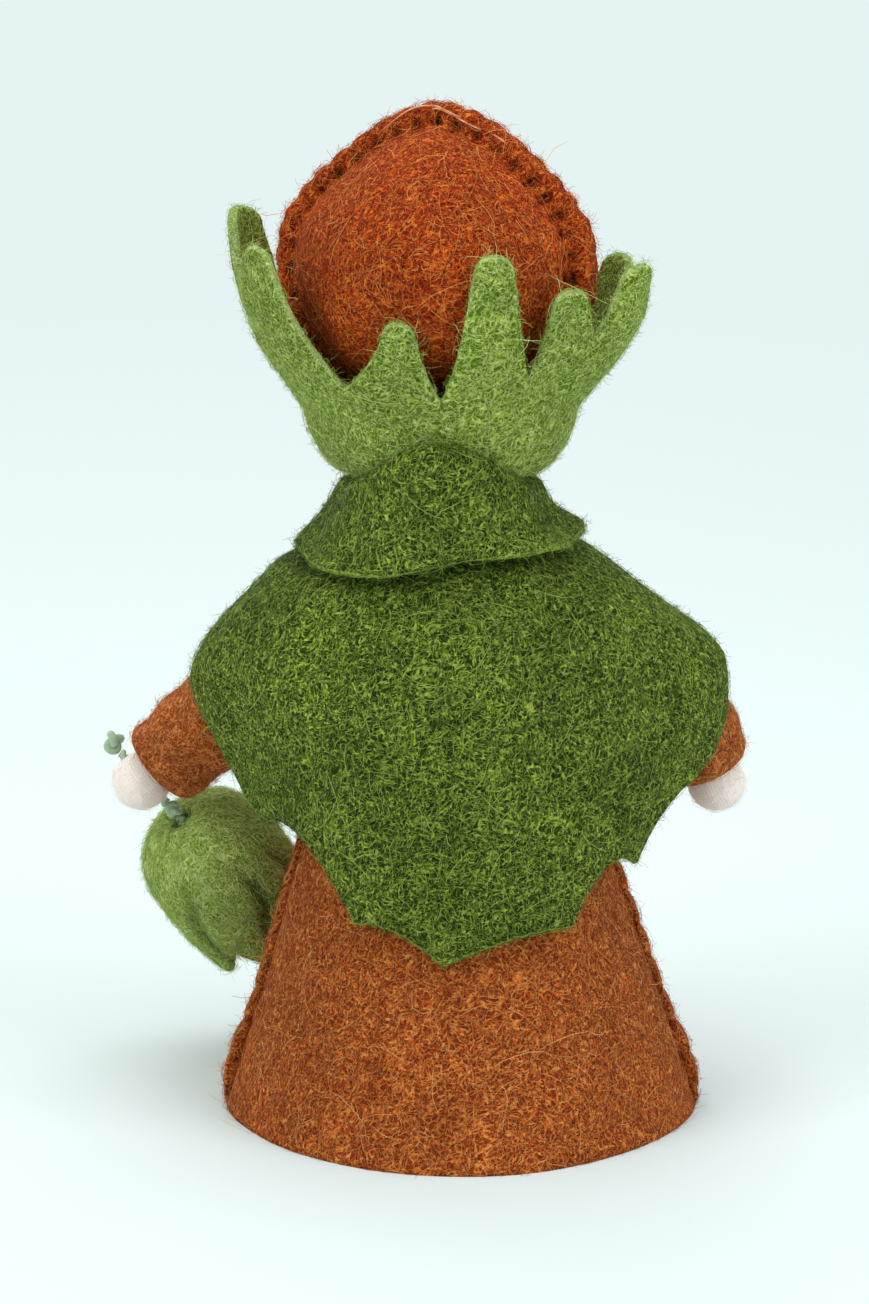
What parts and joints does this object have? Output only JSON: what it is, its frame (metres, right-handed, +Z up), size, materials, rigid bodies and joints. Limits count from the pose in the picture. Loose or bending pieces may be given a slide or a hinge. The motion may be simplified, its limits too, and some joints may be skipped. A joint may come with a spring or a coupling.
{
  "type": "felt fairy doll",
  "caption": "Standing felt doll with a stuffed head in a round hat and leaf husk, a scalloped leaf cape, bendable arms and a felt hazelnut hanging from its left hand",
  "frame": {"origin": "On the surface the doll stands on, under the middle of its bounding box", "axes": "+Z up, -Y the way the doll faces, +X the doll's left; the picture looks from +Y, 14 degrees down"},
  "size_m": [0.064, 0.045, 0.0997],
  "materials": {
    "dress_felt": "wool felt, brushed, matt",
    "sleeve_felt": "wool felt, brushed, matt",
    "hat_felt": "wool felt, brushed, matt",
    "cape_felt": "wool felt, brushed, matt",
    "husk_felt": "wool felt with raised fibres, matt",
    "nut_husk_felt": "wool felt with raised fibres, matt",
    "nut_felt": "wool felt, matt",
    "jersey": "fine cotton knit, matt",
    "wadding": "carded wool, matt",
    "hair_wool": "carded wool, matt",
    "sage_yarn": "stranded cotton yarn, soft sheen",
    "pale_thread": "sewing thread, soft sheen",
    "green_thread": "sewing thread, soft sheen",
    "eye_thread": "embroidery thread, satin",
    "mouth_thread": "embroidery thread, satin",
    "chenille_stem": "wire wound with cotton chenille, matt"
  },
  "bodies": {
    "body": {"dress_back_panel": "dress_felt", "dress_front_panel": "dress_felt", "spine_stem": "chenille_stem", "shoulder_stem": "chenille_stem", "torso_stuffing": "wadding", "cape": "cape_felt", "cape_tie": "green_thread"},
    "head": {"head_jersey": "jersey", "head_wool_core": "wadding", "neck_thread": "pale_thread", "left_eye": "eye_thread", "right_eye": "eye_thread", "mouth": "mouth_thread", "hair_roll": "hair_wool", "hat_back_panel": "hat_felt", "hat_front_band": "hat_felt", "husk_collar": "husk_felt"},
    "left_arm": {"left_sleeve": "sleeve_felt", "left_hand": "jersey", "left_arm_stem": "chenille_stem", "left_wrist_thread": "pale_thread", "yarn_through_hand": "sage_yarn", "yarn_end_knot": "sage_yarn"},
    "right_arm": {"right_sleeve": "sleeve_felt", "right_hand": "jersey", "right_arm_stem": "chenille_stem", "right_wrist_thread": "pale_thread"},
    "knot": {"hanging_knot": "sage_yarn"},
    "nut": {"nut_husk": "nut_husk_felt", "nut_ball": "nut_felt", "nut_yarn": "sage_yarn"}
  },
  "joints": [
    {"name": "head_turn", "type": "hinge", "parent": "body", "child": "head", "pos_m": [-0.00173, -0.0005, 0.062], "axis": [0, 0, 1], "range_deg": [-25, 25]},
    {"name": "left_arm_raise", "type": "hinge", "parent": "body", "child": "left_arm", "pos_m": [0.00587, 0, 0.0505], "axis": [0, -1, 0], "range_deg": [0, 55], "deforming": ["cape"]},
    {"name": "right_arm_raise", "type": "hinge", "parent": "body", "child": "right_arm", "pos_m": [-0.00953, 0, 0.0505], "axis": [0, 1, 0], "range_deg": [-3, 55], "deforming": ["cape"]},
    {"name": "nut_swing_side", "type": "hinge", "parent": "left_arm", "child": "knot", "pos_m": [0.02502, -0.0099, 0.0272], "axis": [0, -1, 0], "range_deg": [0, 45]},
    {"name": "nut_swing_fore", "type": "hinge", "parent": "knot", "child": "nut", "pos_m": [0.02502, -0.0099, 0.0272], "axis": [-1, 0, 0], "range_deg": [0, 30]}
  ]
}
